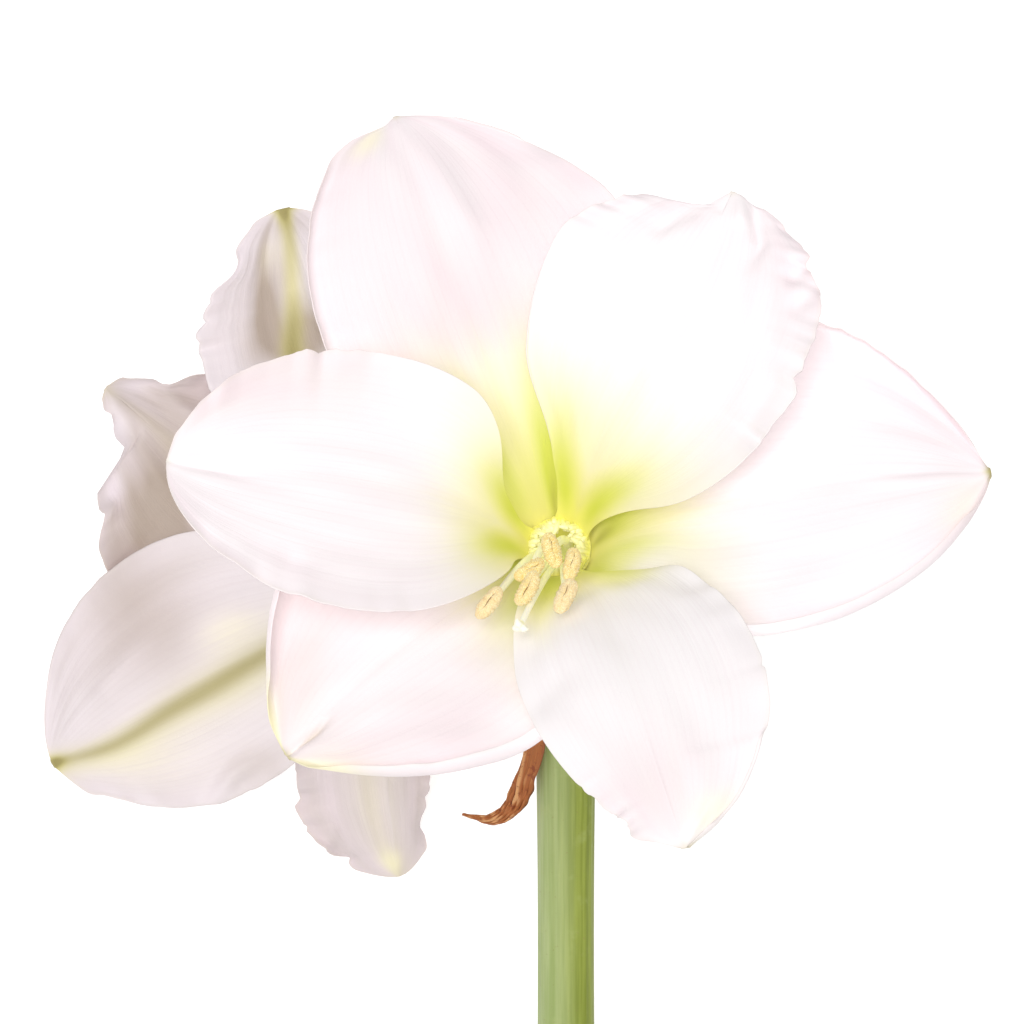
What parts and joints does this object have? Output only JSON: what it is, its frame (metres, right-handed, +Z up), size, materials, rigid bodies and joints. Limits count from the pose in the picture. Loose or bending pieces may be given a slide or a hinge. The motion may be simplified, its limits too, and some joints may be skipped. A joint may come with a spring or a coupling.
{
  "type": "amaryllis",
  "caption": "Cut amaryllis lying down: a hollow green scape with open white trumpet blooms back to back, long stamens and dried spathe bracts.",
  "frame": {"origin": "centre of the bounding box on the surface that the flower lies on", "axes": "+Z up, +Y from the cut end towards the head, +X to the right as one looks down into the front bloom"},
  "size_m": [0.2657, 0.5387, 0.2514],
  "materials": {
    "scape_green": "smooth waxy plant tissue",
    "petal_white": "satin petal with a fine cellular sheen",
    "petal_back_white": "satin petal, outer side, tinged green along the midrib",
    "spathe_brown": "dry papery bract",
    "anther_cream": "powdery pollen",
    "style_cream": "smooth moist plant tissue"
  },
  "bodies": {
    "root": {"scape": "scape_green", "spathe_bract_left": "spathe_brown", "spathe_bract_right": "spathe_brown", "front_pedicel": "scape_green", "back_pedicel": "scape_green", "front_tepal_outer_right": "petal_white", "front_tepal_inner_top": "petal_white", "front_tepal_outer_top": "petal_white", "front_tepal_inner_left": "petal_white", "front_tepal_outer_left": "petal_white", "front_tepal_inner_bottom": "petal_white", "back_tepal_outer_top": "petal_back_white", "back_tepal_inner_left": "petal_back_white", "back_tepal_outer_left": "petal_back_white", "back_tepal_inner_bottom": "petal_back_white", "back_tepal_outer_right": "petal_back_white", "back_tepal_inner_right": "petal_back_white", "front_stamens": "anther_cream", "back_stamens": "anther_cream", "front_style": "style_cream", "back_style": "style_cream"}
  },
  "joints": []
}
